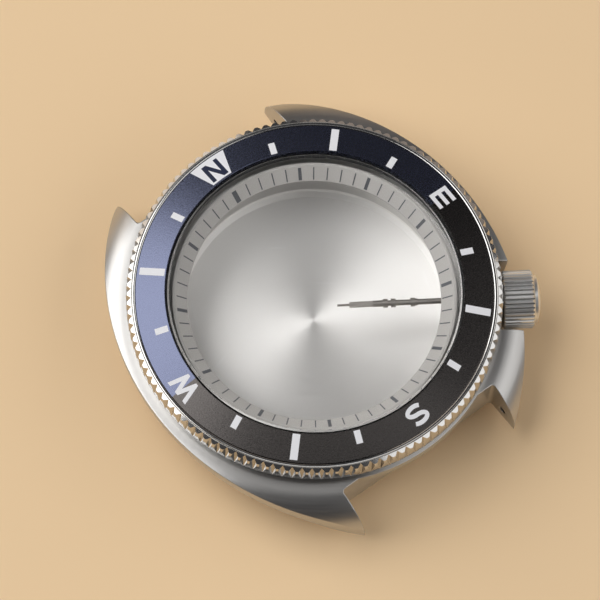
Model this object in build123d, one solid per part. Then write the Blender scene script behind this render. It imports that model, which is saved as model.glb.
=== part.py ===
"""An empty diver's watch case: cushion-shaped steel middle with four pierced lugs, a bezel that
turns in clicks and carries a compass insert, a flat crystal over a sloping chapter ring, a screw
back, and a screw-down crown at four o'clock whose stem reaches into the bare movement space.

Millimetres. The origin is the middle of the back's flat outer face, +Z up through the crystal,
+Y towards twelve o'clock and +X towards three o'clock."""
from build123d import *
from math import asin, cos, hypot, pi, radians, sin, sqrt
import os

# One overrun for every cutting tool, a small one where a full overrun would cross itself, and the
# fits that pieces share
overrun = 1.0
blank_spare = 0.2
running_gap = 0.05
thread_gap = 0.05
seat_gap = 0.04

# Case middle: its plan, then its heights
half_width = 20.95
lug_gap = 20.0
lug_beyond = 1.74
seat_inset = 0.85
gap_behind_seat = 1.6
gap_corner_r = 0.4
under_land = 0.65
case_base_z = 1.5
case_height = 6.6
belly_below_seat = 0.8
belly_tuck = 2.75
seat_flange_thick = 1.3
tip_lift = 1.2
tip_thick = 0.8
dome_bulge_out_share = 0.7132
dome_bulge_drop_share = 0.2935
flank_level_shares = (0, 1 / 3, 2 / 3, 1)

# Spring bar holes in the lugs
bar_hole_r = 0.5
bar_hole_depth = 1.2
bar_hole_inset = 2.19
bar_hole_lift = 1.3

# Bezel ring, from its coin edge inwards, then its heights
bezel_inset = 0.9
bezel_edge_width = 0.13
bezel_edge_drop = 0.4
bezel_land_width = 0.42
bezel_land_drop = 0.22
bezel_line_width = 0.1
bezel_line_depth = 0.12
bezel_lip = 0.3
bezel_lip_proud = 0.02
bezel_under_inset = 0.45
bezel_under_lift = 1.25
bezel_seat_gap = 0.15
notch_count = 120
notch_depth = 0.63
notch_width = 0.73
bezel_rest_turn = 1.75

# Insert, a shallow cone that falls outwards, and the ring of adhesive that holds it
insert_width = 3.18
insert_drop = 0.62
insert_thick = 0.8
insert_edge_break = 0.08
adhesive_thick = 0.08
adhesive_inset = 0.25

# Crystal and its gasket
crystal_gap = 0.23
crystal_thick = 2.0
crystal_bevel = 0.32
crystal_shelf = 0.5
crystal_pocket_depth = 1.0
crystal_gasket_wall = 0.5
crystal_gasket_proud = 0.05

# Neck of the case middle and the collar gasket that holds the bezel on it
neck_wall = 0.85
neck_height = 2.95
neck_cover_gap = 0.1
collar_groove_lift = 1.0
collar_groove_height = 0.8
collar_groove_depth = 0.4
collar_gasket_height = 0.7
collar_gasket_proud = 0.28

# Chapter ring and the ledge under it, which also stops the dial
chapter_width = 1.63
chapter_depth = 1.6
chapter_land = 0.3
chapter_top_gap = 0.1
chapter_edge = 0.3
chapter_foot = 0.1
chapter_hang = 0.38
dial_ledge_width = 0.7
dial_ledge_thick = 0.45

# Click ball and its spring in the case middle
click_count = 120
click_depth = 0.35
click_track_inset = 0.9
click_track_width = 0.9
click_angle = 70.0
click_ball_r = 0.4
click_ball_into = 0.15
click_hole_gap = 0.02
click_spring_wire_r = 0.075
click_spring_turns = 3
click_spring_length = 1.9

# Screw back: its thread, then the flange and the faces outside
back_thread_wall = 1.4
back_thread_height = 1.3
back_thread_depth = 1.6
back_recess_depth = 0.5
back_recess_gap = 0.15
back_flange_width = 1.6
back_flange_thick = 1.1
back_shoulder = 0.7
back_rim_width = 3.5
back_step_slope = 0.8
back_step_height = 0.45
back_wall = 1.2
back_floor_thick = 1.85
back_cove = 0.5
back_slot_count = 6
back_slot_width = 3.0
back_slot_depth = 1.3
back_gasket_inset = 0.4
back_gasket_width = 0.7
back_gasket_height = 0.5

# Crown, tube and pipe, along the crown's own axis
crown_angle = -33.3
crown_below_seat = 1.8
crown_gap = 0.15
crown_r = 3.15
knurl_length = 3.4
knurl_count = 38
knurl_depth = 0.24
knurl_width = 0.34
crown_edge_break = 0.25
crown_boss_inset = 0.58
crown_boss_step = 0.35
crown_boss_bulge = 0.45
pocket_behind = 0.5
pocket_room = 0.75
crown_thread_pitch = 0.5
crown_turns = 2.4
tube_r = 1.7
tube_step = 0.25
tube_wall = 0.4
tube_reach = 1.95
tube_setback = 0.3
tube_seal_back = 1.25
tube_seal_length = 0.6
tube_seal_depth = 0.3
seal_squeeze_gap = 0.02
crown_gasket_thick = 0.35
pipe_grip = 0.7
pipe_length = 4.8
pipe_wall = 0.28
pipe_lip = 0.3

# Post, slip washer and spring inside the pipe
post_shank_r = 0.45
post_head_gap = 0.04
post_head_length = 0.6
post_sleeve_wall = 0.31
post_sleeve_length = 1.4
post_back = 0.1
washer_thick = 0.2
crown_spring_wire_r = 0.08
crown_spring_turns = 4

# Stem, from its tip near the centre outwards
stem_tip = 2.5
stem_pilot_length = 1.3
stem_pilot_r = 0.13
stem_square_length = 2.5
stem_square_side = 0.5
stem_neck_length = 1.1
stem_neck_r = 0.35
stem_collar_length = 0.5
stem_collar_r = 0.475
stem_groove_length = 0.35
stem_shaft_r = 0.31
stem_body_length = 1.6
stem_step_length = 0.25
stem_step_r = 0.39
stem_joint_length = 0.8

# Both springs: points read along each turn to measure the gap, and the sides of their wire
coil_point_count = 36
wire_side_count = 6

# Radii worked out from those sizes, from the outside inwards
seat_r = half_width - seat_inset
bezel_r = half_width - bezel_inset
bezel_under_r = bezel_r - bezel_under_inset
bezel_edge_r = bezel_r - bezel_edge_width
bezel_line_r = bezel_edge_r - bezel_land_width
bezel_rim_r = bezel_line_r - bezel_line_width
insert_r = bezel_rim_r - bezel_lip - seat_gap
insert_inner_r = insert_r - insert_width
insert_slope = insert_drop / insert_width
crystal_r = insert_inner_r - crystal_gap
crystal_pocket_r = crystal_r + crystal_gasket_wall
neck_r = crystal_pocket_r + neck_wall
bezel_bore_r = neck_r + running_gap
click_track_r = bezel_under_r - click_track_inset
chapter_r = crystal_r - crystal_shelf
chapter_bore_r = chapter_r + seat_gap
chapter_slope_r = chapter_r - chapter_land
chapter_inner_r = chapter_r - chapter_width
dial_ledge_r = chapter_inner_r + chapter_hang
cavity_r = dial_ledge_r + dial_ledge_width
back_thread_r = cavity_r + back_thread_wall
back_bore_r = back_thread_r + thread_gap
back_flange_r = back_thread_r + back_flange_width
back_recess_r = back_flange_r + back_recess_gap
back_rim_r = back_flange_r - back_shoulder
back_step_r = back_rim_r - back_rim_width
back_face_r = back_step_r - back_step_slope
back_gasket_inner_r = back_thread_r + back_gasket_inset
back_gasket_r = back_gasket_inner_r + back_gasket_width
under_flat_r = back_recess_r + under_land

# Lugs
lug_reach = half_width + lug_beyond
tip_r = hypot(lug_gap / 2, lug_reach)
gap_depth_y = seat_r - gap_behind_seat
bar_hole_y = lug_reach - bar_hole_inset

# Heights, from the back upwards
back_recess_z = case_base_z + back_recess_depth
back_rim_z = back_recess_z - back_flange_thick
back_thread_top_z = back_recess_z + back_thread_height
thread_top_z = back_recess_z + back_thread_depth
tip_under_z = case_base_z + tip_lift
tip_top_z = tip_under_z + tip_thick
bar_hole_z = tip_under_z + bar_hole_lift
seat_z = case_base_z + case_height
belly_z = seat_z - belly_below_seat
neck_top_z = seat_z + neck_height
crystal_seat_z = neck_top_z - crystal_pocket_depth
crystal_top_z = crystal_seat_z + crystal_thick
crystal_gasket_top_z = neck_top_z + crystal_gasket_proud
chapter_seat_z = crystal_seat_z - chapter_depth
chapter_inner_z = chapter_seat_z + chapter_edge
chapter_slope_z = crystal_seat_z - chapter_top_gap
dial_ledge_z = chapter_seat_z - dial_ledge_thick
collar_groove_z = seat_z + collar_groove_lift
collar_groove_top_z = collar_groove_z + collar_groove_height
bezel_bottom_z = seat_z + bezel_seat_gap
bezel_floor_z = neck_top_z + neck_cover_gap
insert_bottom_z = bezel_floor_z + adhesive_thick
insert_top_z = insert_bottom_z + insert_thick
insert_edge_z = insert_top_z - insert_slope * (insert_r - bezel_bore_r)
bezel_rim_z = insert_edge_z + bezel_lip_proud
bezel_line_z = bezel_rim_z - bezel_line_depth / 2
bezel_edge_z = bezel_line_z - bezel_land_drop
click_ball_z = bezel_bottom_z + click_ball_into - click_ball_r

# Places along the crown's axis, measured from the case centre
crown_z = seat_z - crown_below_seat
crown_start = bezel_r + crown_gap
crown_knurl_end = crown_start + knurl_length
crown_boss_r = crown_r - crown_boss_inset
crown_boss_edge = crown_knurl_end + crown_boss_step
crown_end = crown_boss_edge + crown_boss_bulge
crown_bore_r = tube_r + thread_gap
crown_rise = crown_thread_pitch * crown_turns
pocket_floor = crown_start - pocket_behind
pocket_r = crown_r + pocket_room
tube_root_r = tube_r - tube_step
tube_bore_r = tube_root_r - tube_wall
tube_start = cavity_r + tube_setback
tube_end = crown_start + tube_reach
tube_seal_start = tube_end - tube_seal_back
tube_seal_end = tube_seal_start + tube_seal_length
tube_seal_r = tube_bore_r + tube_seal_depth
crown_cavity_end = tube_end + crown_gasket_thick
pipe_r = tube_bore_r - running_gap
pipe_bore_r = pipe_r - pipe_wall
pipe_lip_r = post_shank_r + running_gap
pipe_end = crown_cavity_end + pipe_grip
pipe_start = pipe_end - pipe_length
post_start = tube_start + post_back
post_sleeve_end = post_start + post_sleeve_length
post_sleeve_r = stem_shaft_r + post_sleeve_wall
post_head_r = pipe_bore_r - post_head_gap
post_head_start = pipe_start + pipe_lip + crown_rise + running_gap
post_head_end = post_head_start + post_head_length
spring_end = pipe_end - washer_thick
stem_end = post_start + stem_joint_length
crown_frame = Plane(
    origin=(0, 0, crown_z),
    x_dir=(0, 0, 1),
    z_dir=(cos(radians(crown_angle)), sin(radians(crown_angle)), 0),
)


def turned(points):
    """Turn a closed profile of (radius, height) points about Z."""
    return revolve(Plane.XZ * make_face(Polyline(*points, close=True)), Axis.Z)


def ring(inner_r, outer_r, low, high):
    """A plain ring, or a disc where inner_r is zero."""
    return turned([(inner_r, low), (outer_r, low), (outer_r, high), (inner_r, high)])


def on_crown(shape):
    """Lay a solid made about Z, with heights measured from the case centre, on the crown's axis."""
    return crown_frame.location * shape


def notched_prism(radius, count, depth, width, low, high, turn=0.0):
    """A prism whose rim has V notches, each width across at the rim and depth deep."""
    half = asin(width / 2 / radius)
    points = []
    for i in range(count):
        middle = radians(turn) + 2 * pi * i / count
        points.append((radius * cos(middle - half), radius * sin(middle - half)))
        points.append(((radius - depth) * cos(middle), (radius - depth) * sin(middle)))
        points.append((radius * cos(middle + half), radius * sin(middle + half)))
    outline = make_face(Polyline(*points, close=True))
    return extrude(Plane.XY.offset(low) * outline, amount=high - low)


def coil(radius, wire_r, turns, low, high):
    """A coil of wire about Z; the least gap between its turns is measured on points and printed."""
    height = high - low - 2 * wire_r
    path = Helix(pitch=height / turns, height=height, radius=radius, center=(0, 0, low + wire_r))
    section = Plane(origin=path @ 0, z_dir=path % 0) * RegularPolygon(wire_r, wire_side_count)
    count = coil_point_count * turns
    spots = [path @ (i / count) for i in range(count + 1)]
    half_turn = coil_point_count // 2
    gaps = [(a - b).length - 2 * wire_r for i, a in enumerate(spots) for b in spots[i + half_turn:]]
    print(f"coil of {turns} turns, radius {radius:.2f}: least gap to itself {min(gaps):.3f} mm")
    return sweep(section, path=path, is_frenet=True)


def flank_outline(width, height):
    """The case outline at one height: two flank arcs through the lug tips, meeting on Y."""
    tip_x = lug_gap / 2
    centre = (width**2 - tip_x**2 - lug_reach**2) / (2 * (width - tip_x))
    radius = width - centre
    top = sqrt(radius**2 - centre**2)
    arcs = ThreePointArc((0, -top), (width, 0), (0, top)) + ThreePointArc((0, top), (-width, 0), (0, -top))
    return Plane.XY.offset(height) * make_face(arcs)


def flank_half_width(height):
    """Half the case's width at a height: the flank is upright at the belly and tucks in below it."""
    drop = belly_z - case_base_z
    radius = (belly_tuck**2 + drop**2) / (2 * belly_tuck)
    below = max(belly_z - height, 0)
    return half_width - radius + sqrt(radius**2 - below**2)


def case_blank():
    """The cushion shape: curved flanks under a turned dome, with undersides that rise to the lug tips."""
    levels = [case_base_z + (belly_z - case_base_z) * share for share in flank_level_shares]
    levels.append(seat_z + overrun)
    flanks = loft([flank_outline(flank_half_width(level), level) for level in levels])
    bulge_r = seat_r + (tip_r - seat_r) * dome_bulge_out_share
    bulge_z = seat_z - (seat_z - tip_top_z) * dome_bulge_drop_share
    dome = Plane.XZ * make_face(
        Polyline((seat_r, seat_z), (0, seat_z), (0, case_base_z), (under_flat_r, case_base_z),
                 (tip_r, tip_under_z), (tip_r, tip_top_z))
        + ThreePointArc((tip_r, tip_top_z), (bulge_r, bulge_z), (seat_r, seat_z))
    )
    return flanks & revolve(dome, Axis.Z)


def lug_gap_cutter():
    """The space for the strap between two lugs, cut up to the round flange under the bezel."""
    depth = half_width
    block = Pos(0, gap_depth_y + depth / 2, case_base_z - overrun) * extrude(
        RectangleRounded(lug_gap, depth, gap_corner_r), amount=seat_z - case_base_z + 2 * overrun
    )
    flange = ring(0, seat_r, seat_z - seat_flange_thick, seat_z + 2 * overrun)
    return block - flange


def crown_pocket():
    """The recess for the crown: round below, open above."""
    reach = half_width + lug_reach
    round_part = on_crown(ring(0, pocket_r, pocket_floor, reach))
    open_part = on_crown(
        Pos(seat_z / 2, 0, (pocket_floor + reach) / 2) * Box(seat_z, 2 * pocket_r, reach - pocket_floor)
    )
    return round_part + open_part


def make_mid_case():
    body = case_blank()
    for turn in (0, 180):
        body -= Rot(0, 0, turn) * lug_gap_cutter()
    body += ring(neck_r - overrun, neck_r, seat_z - overrun, neck_top_z)
    body -= turned([
        (0, case_base_z - overrun),
        (back_recess_r, case_base_z - overrun),
        (back_recess_r, back_recess_z),
        (back_bore_r, back_recess_z),
        (back_bore_r, thread_top_z),
        (cavity_r, thread_top_z),
        (cavity_r, dial_ledge_z),
        (dial_ledge_r, dial_ledge_z),
        (dial_ledge_r, chapter_seat_z),
        (chapter_bore_r, chapter_seat_z),
        (chapter_bore_r, crystal_seat_z),
        (crystal_pocket_r, crystal_seat_z),
        (crystal_pocket_r, neck_top_z + overrun),
        (0, neck_top_z + overrun),
    ])
    body -= ring(neck_r - collar_groove_depth, neck_r + overrun, collar_groove_z, collar_groove_top_z)
    body -= crown_pocket()
    body -= on_crown(ring(0, tube_root_r, cavity_r - overrun, pocket_floor + overrun))
    for side_x in (-1, 1):
        for side_y in (-1, 1):
            mouth = Pos(side_x * lug_gap / 2, side_y * bar_hole_y, bar_hole_z) * Rot(0, 90 * side_x, 0)
            length = bar_hole_depth + overrun
            body -= mouth * Pos(0, 0, bar_hole_depth - length / 2) * Cylinder(bar_hole_r, length)
    hole_bottom = click_ball_z - click_spring_length - click_ball_r
    body -= click_place() * ring(0, click_ball_r + click_hole_gap, hole_bottom, seat_z + overrun)
    return body


def click_place():
    """Where the click ball's hole stands on the bezel seat."""
    angle = radians(click_angle)
    return Pos(click_track_r * cos(angle), click_track_r * sin(angle), 0)


def cone_height(radius, bore_height):
    """Height at a radius of a face that falls outwards with the insert, from its height at the bore."""
    return bore_height - insert_slope * (radius - bezel_bore_r)


def make_bezel_ring():
    blank_r = bezel_r + blank_spare
    edge_slope = bezel_edge_drop / bezel_edge_width
    under_slope = bezel_under_lift / bezel_under_inset
    seat_edge_r = insert_r + seat_gap
    gasket_r = neck_r + collar_gasket_proud + running_gap
    blank = turned([
        (bezel_bore_r, bezel_bottom_z),
        (bezel_under_r, bezel_bottom_z),
        (blank_r, bezel_bottom_z + under_slope * (blank_r - bezel_under_r)),
        (blank_r, bezel_edge_z - edge_slope * (blank_r - bezel_edge_r)),
        (bezel_edge_r, bezel_edge_z),
        (bezel_line_r, bezel_line_z),
        (bezel_line_r - bezel_line_width / 2, bezel_rim_z - bezel_line_depth),
        (bezel_rim_r, bezel_rim_z),
        (seat_edge_r, bezel_rim_z),
        (seat_edge_r, cone_height(seat_edge_r, bezel_floor_z)),
        (bezel_bore_r, bezel_floor_z),
        (bezel_bore_r, collar_groove_top_z),
        (gasket_r, collar_groove_top_z),
        (gasket_r, collar_groove_z),
        (bezel_bore_r, collar_groove_z),
    ])
    edge = notched_prism(bezel_r, notch_count, notch_depth, notch_width, bezel_bottom_z - overrun,
                         bezel_rim_z + overrun, 90 + bezel_rest_turn)
    return (blank & edge) - click_teeth()


def click_teeth():
    """The ratchet under the bezel: saw-shaped notches that let it turn one way only."""
    pitch = 2 * pi * click_track_r / click_count
    ball_back = pitch - click_ball_r - running_gap
    tooth = make_face(Polyline((0, 0), (pitch, 0), (pitch, click_depth), close=True))
    inner = click_track_r - click_track_width / 2
    profile = Plane(origin=(inner, -ball_back, bezel_bottom_z), x_dir=(0, 1, 0), z_dir=(1, 0, 0)) * tooth
    wedge = extrude(profile, amount=click_track_width)
    places = [Rot(0, 0, click_angle + 360 * i / click_count) for i in range(click_count)]
    return [place * wedge for place in places]


def make_bezel_insert():
    side_top_z = insert_top_z - insert_edge_break
    return turned([(radius, cone_height(radius, height)) for radius, height in (
        (insert_inner_r, insert_bottom_z),
        (insert_r, insert_bottom_z),
        (insert_r, side_top_z),
        (insert_r - insert_edge_break, insert_top_z),
        (insert_inner_r + insert_edge_break, insert_top_z),
        (insert_inner_r, side_top_z),
    )])


def make_insert_adhesive():
    inner = bezel_bore_r + adhesive_inset
    outer = insert_r - adhesive_inset
    return turned([(radius, cone_height(radius, height)) for radius, height in (
        (inner, bezel_floor_z),
        (outer, bezel_floor_z),
        (outer, insert_bottom_z),
        (inner, insert_bottom_z),
    )])


def make_bezel_gasket():
    middle = collar_groove_z + collar_groove_height / 2
    low = middle - collar_gasket_height / 2
    high = middle + collar_gasket_height / 2
    inner = neck_r - collar_groove_depth
    outer = neck_r + collar_gasket_proud
    return turned([(inner, low), (neck_r, low), (outer, middle), (neck_r, high), (inner, high)])


def make_click_ball():
    return click_place() * Pos(0, 0, click_ball_z) * Sphere(click_ball_r)


def make_click_spring():
    top = click_ball_z - click_ball_r
    low = top - click_spring_length
    return click_place() * coil(click_ball_r - click_spring_wire_r - click_hole_gap, click_spring_wire_r,
                                click_spring_turns, low, top)


def make_crystal():
    return turned([
        (0, crystal_seat_z),
        (crystal_r, crystal_seat_z),
        (crystal_r, crystal_top_z - crystal_bevel),
        (crystal_r - crystal_bevel, crystal_top_z),
        (0, crystal_top_z),
    ])


def make_crystal_gasket():
    return ring(crystal_r, crystal_pocket_r, crystal_seat_z, crystal_gasket_top_z)


def make_chapter_ring():
    return turned([
        (chapter_inner_r + chapter_foot, chapter_seat_z),
        (chapter_r, chapter_seat_z),
        (chapter_r, chapter_slope_z),
        (chapter_slope_r, chapter_slope_z),
        (chapter_inner_r, chapter_inner_z),
        (chapter_inner_r, chapter_seat_z + chapter_foot),
    ])


def make_case_back():
    groove_low = back_recess_z - back_gasket_height
    wall_r = back_thread_r - back_wall
    back = turned([
        (0, 0),
        (back_face_r, 0),
        (back_step_r, back_step_height),
        (back_rim_r - back_step_height, back_step_height),
        (back_rim_r, back_rim_z),
        (back_flange_r, back_rim_z),
        (back_flange_r, back_recess_z),
        (back_gasket_r, back_recess_z),
        (back_gasket_r, groove_low),
        (back_gasket_inner_r, groove_low),
        (back_gasket_inner_r, back_recess_z),
        (back_thread_r, back_recess_z),
        (back_thread_r, back_thread_top_z),
        (wall_r, back_thread_top_z),
        (wall_r, back_floor_thick + back_cove),
        (wall_r - back_cove, back_floor_thick),
        (0, back_floor_thick),
    ])
    for i in range(back_slot_count):
        slot = Pos(back_rim_r, 0, 0) * Box(2 * back_slot_depth, back_slot_width, 2 * back_rim_z)
        back -= Rot(0, 0, 360 * i / back_slot_count) * slot
    return back


def make_back_gasket():
    return ring(back_gasket_inner_r, back_gasket_r, back_recess_z - back_gasket_height, back_recess_z)


def make_crown_tube():
    return on_crown(turned([
        (tube_bore_r, tube_start),
        (tube_root_r, tube_start),
        (tube_root_r, pocket_floor),
        (tube_r, pocket_floor),
        (tube_r, tube_end),
        (tube_bore_r, tube_end),
        (tube_bore_r, tube_seal_end),
        (tube_seal_r, tube_seal_end),
        (tube_seal_r, tube_seal_start),
        (tube_bore_r, tube_seal_start),
    ]))


def make_tube_gasket():
    return on_crown(ring(pipe_r + seal_squeeze_gap, tube_seal_r - seal_squeeze_gap,
                         tube_seal_start + seal_squeeze_gap, tube_seal_end - seal_squeeze_gap))


def make_crown_pipe():
    return on_crown(turned([
        (pipe_lip_r, pipe_start),
        (pipe_r, pipe_start),
        (pipe_r, pipe_end),
        (pipe_bore_r, pipe_end),
        (pipe_bore_r, pipe_start + pipe_lip),
        (pipe_lip_r, pipe_start + pipe_lip),
    ]))


def make_crown_post():
    return on_crown(turned([
        (stem_shaft_r, post_start),
        (post_sleeve_r, post_start),
        (post_sleeve_r, post_sleeve_end),
        (post_shank_r, post_sleeve_end),
        (post_shank_r, post_head_start),
        (post_head_r, post_head_start),
        (post_head_r, post_head_end),
        (0, post_head_end),
        (0, stem_end),
        (stem_shaft_r, stem_end),
    ]))


def make_crown_spring():
    return on_crown(coil(post_head_r - crown_spring_wire_r, crown_spring_wire_r, crown_spring_turns,
                         post_head_end, spring_end))


def make_slip_washer():
    return on_crown(ring(0, post_head_r, spring_end, pipe_end))


def make_crown_gasket():
    return on_crown(ring(pipe_r, crown_bore_r, tube_end, crown_cavity_end))


def make_crown_shell():
    dome_r = (crown_boss_r**2 + crown_boss_bulge**2) / (2 * crown_boss_bulge)
    dome_middle = crown_end - dome_r + sqrt(dome_r**2 - (crown_boss_r / 2) ** 2)
    outline = Polyline(
        (0, crown_end),
        (0, pipe_end),
        (pipe_r, pipe_end),
        (pipe_r, crown_cavity_end),
        (crown_bore_r, crown_cavity_end),
        (crown_bore_r, crown_start),
        (crown_r - crown_edge_break, crown_start),
        (crown_r + overrun, crown_start + crown_edge_break + overrun),
        (crown_r + overrun, crown_knurl_end - crown_edge_break - overrun),
        (crown_r - crown_edge_break, crown_knurl_end),
        (crown_boss_r, crown_knurl_end),
        (crown_boss_r, crown_boss_edge),
    ) + ThreePointArc((crown_boss_r, crown_boss_edge), (crown_boss_r / 2, dome_middle), (0, crown_end))
    grip = notched_prism(crown_r, knurl_count, knurl_depth, knurl_width, crown_start - overrun,
                         crown_end + overrun)
    return on_crown(revolve(Plane.XZ * make_face(outline), Axis.Z) & grip)


def make_stem():
    steps = [
        (stem_pilot_length, stem_pilot_r),
        (stem_square_length, stem_square_side),
        (stem_neck_length, stem_neck_r),
        (stem_collar_length, stem_collar_r),
        (stem_groove_length, stem_shaft_r),
        (stem_collar_length, stem_collar_r),
        (stem_body_length, stem_shaft_r),
        (stem_collar_length, stem_collar_r),
        (stem_step_length, stem_step_r),
    ]
    at = stem_tip
    points = [(0, at)]
    for length, radius in steps:
        points += [(radius, at), (radius, at + length)]
        at += length
    points += [(stem_shaft_r, at), (stem_shaft_r, stem_end), (0, stem_end)]
    square_start = stem_tip + stem_pilot_length
    square = Pos(0, 0, square_start + stem_square_length / 2) * Box(
        stem_square_side, stem_square_side, stem_square_length
    )
    waste = ring(0, stem_square_side + overrun, square_start, square_start + stem_square_length)
    return on_crown((turned(points) - waste) + square)


makers = {
    "mid_case": make_mid_case,
    "bezel_ring": make_bezel_ring,
    "bezel_insert": make_bezel_insert,
    "insert_adhesive": make_insert_adhesive,
    "bezel_gasket": make_bezel_gasket,
    "click_ball": make_click_ball,
    "click_spring": make_click_spring,
    "crystal": make_crystal,
    "crystal_gasket": make_crystal_gasket,
    "chapter_ring": make_chapter_ring,
    "case_back": make_case_back,
    "back_gasket": make_back_gasket,
    "crown_tube": make_crown_tube,
    "tube_gasket": make_tube_gasket,
    "crown_pipe": make_crown_pipe,
    "crown_post": make_crown_post,
    "crown_spring": make_crown_spring,
    "slip_washer": make_slip_washer,
    "crown_gasket": make_crown_gasket,
    "crown_shell": make_crown_shell,
    "stem": make_stem,
}

os.makedirs("parts", exist_ok=True)
for name, make in makers.items():
    export_step(make(), f"parts/{name}.step")
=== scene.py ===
"""Dresses and lights an empty diver's watch case: steel, anodised insert, crystal, print and seals.

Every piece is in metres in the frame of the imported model: the origin is the middle of the back's
outer face, +Z up through the crystal, +Y towards twelve o'clock."""
import logging
from dataclasses import dataclass
from enum import Enum
from functools import reduce
from math import cos, hypot, pi, radians, sin, sqrt
from operator import add

import bmesh
import bpy
import numpy as np
from mathutils import Matrix, Vector


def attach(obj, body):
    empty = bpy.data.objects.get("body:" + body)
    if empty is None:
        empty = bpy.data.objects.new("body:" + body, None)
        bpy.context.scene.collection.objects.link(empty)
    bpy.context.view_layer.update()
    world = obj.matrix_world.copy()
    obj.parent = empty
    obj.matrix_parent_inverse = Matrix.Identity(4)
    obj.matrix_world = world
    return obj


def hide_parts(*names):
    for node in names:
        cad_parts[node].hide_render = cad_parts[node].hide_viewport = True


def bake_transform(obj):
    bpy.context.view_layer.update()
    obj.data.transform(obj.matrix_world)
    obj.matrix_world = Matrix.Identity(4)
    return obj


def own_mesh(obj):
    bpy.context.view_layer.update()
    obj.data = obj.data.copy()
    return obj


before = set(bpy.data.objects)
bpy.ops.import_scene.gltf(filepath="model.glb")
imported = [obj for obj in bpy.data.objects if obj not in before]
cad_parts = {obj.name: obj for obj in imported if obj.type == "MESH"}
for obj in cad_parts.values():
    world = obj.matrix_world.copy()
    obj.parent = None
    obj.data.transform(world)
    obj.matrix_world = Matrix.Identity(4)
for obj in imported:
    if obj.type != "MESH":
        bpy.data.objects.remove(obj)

log = logging.getLogger("watch_case")

MM = 0.001
# The crown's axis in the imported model: its heading in degrees, its height, and the knurl's outer end.
CROWN_ANGLE = -33.3
CROWN_HEIGHT = 6.3
KNURL_END = 23.55
# The radius at which a circular groove has its stated length.
GROOVE_REACH_MM = 20.0
# A point nearer to the axis is on it, and points nearer to each other are one.
ON_AXIS_MM = 1e-9
WELD_MM = 0.0005
# Blender's noise stays mostly between these two values.
NOISE_SPAN = {"From Min": 0.3, "From Max": 0.7}
# The turn of a stretched highlight is counted in whole turns.
QUARTER_TURN = 0.25
WHITE = (1.0, 1.0, 1.0, 1.0)
Point = tuple[float, float]
Socket = bpy.types.NodeSocket


class Grain(Enum):
    """How the marks of the last machining step run on a metal surface."""

    NONE = "none"
    CIRCULAR = "circular"
    ALONG_CROWN = "along_crown"


def linear(hex_colour: str) -> tuple[float, float, float, float]:
    """Turn an sRGB hex colour into the linear colour that shaders use.

    Args:
        hex_colour: Six hex digits with a leading hash.

    Returns:
        Linear red, green, blue and an alpha of one.
    """
    parts = [int(hex_colour[i:i + 2], 16) / 255 for i in (1, 3, 5)]
    lit = [p / 12.92 if p <= 0.04045 else ((p + 0.055) / 1.055) ** 2.4 for p in parts]
    return (lit[0], lit[1], lit[2], 1.0)


def add_node(tree: bpy.types.NodeTree, kind: str, settings: dict | None = None,
             links: dict | None = None) -> bpy.types.Node:
    """Add one node with its settings and links.

    Args:
        tree: The node tree that gets the node.
        kind: The node's type name, such as ShaderNodeMath.
        settings: Attributes by name, and input values by input name or index.
        links: Output sockets by the input name or index that they feed.

    Returns:
        The new node.
    """
    node = tree.nodes.new(kind)
    for name, value in (settings or {}).items():
        if isinstance(name, str) and hasattr(node, name):
            setattr(node, name, value)
        else:
            node.inputs[name].default_value = value
    for name, socket in (links or {}).items():
        tree.links.new(socket, node.inputs[name])
    return node


def math_node(tree: bpy.types.NodeTree, operation: str, first: Socket | float,
              second: Socket | float = 0.0) -> Socket:
    """Work out one sum in a material.

    Args:
        tree: The material's node tree.
        operation: The sum's name, such as MULTIPLY.
        first: The first number, as a value or a socket.
        second: The second number.

    Returns:
        The result.
    """
    settings, links = {"operation": operation}, {}
    for index, value in enumerate((first, second)):
        taken_by = links if isinstance(value, Socket) else settings
        taken_by[index] = value
    return add_node(tree, "ShaderNodeMath", settings, links).outputs[0]


def mottled(tree: bpy.types.NodeTree, hex_colour: str, spread: float, pattern: Socket) -> Socket:
    """Vary a colour about its own shade.

    Args:
        tree: The material's node tree.
        hex_colour: The colour in the middle.
        spread: How far it goes darker and lighter, as a share of itself.
        pattern: 0 where it is darkest, 1 where it is lightest.

    Returns:
        The varied colour.
    """
    base = linear(hex_colour)[:3]
    dark = [c * (1 - spread) for c in base]
    light = [min(1.0, c * (1 + spread)) for c in base]
    return add_node(tree, "ShaderNodeMix", {"data_type": "RGBA", 6: dark + [1.0], 7: light + [1.0]},
                    {0: pattern}).outputs[2]


@dataclass(frozen=True)
class Finish:
    """What all finishes share: a named material with one Principled shader."""

    name: str

    def start(self) -> tuple[bpy.types.Material, bpy.types.NodeTree, bpy.types.Node]:
        """Make the material.

        Returns:
            The material, its node tree and its Principled node.
        """
        made = bpy.data.materials.new(self.name)
        made.use_nodes = True
        return made, made.node_tree, made.node_tree.nodes["Principled BSDF"]


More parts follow.
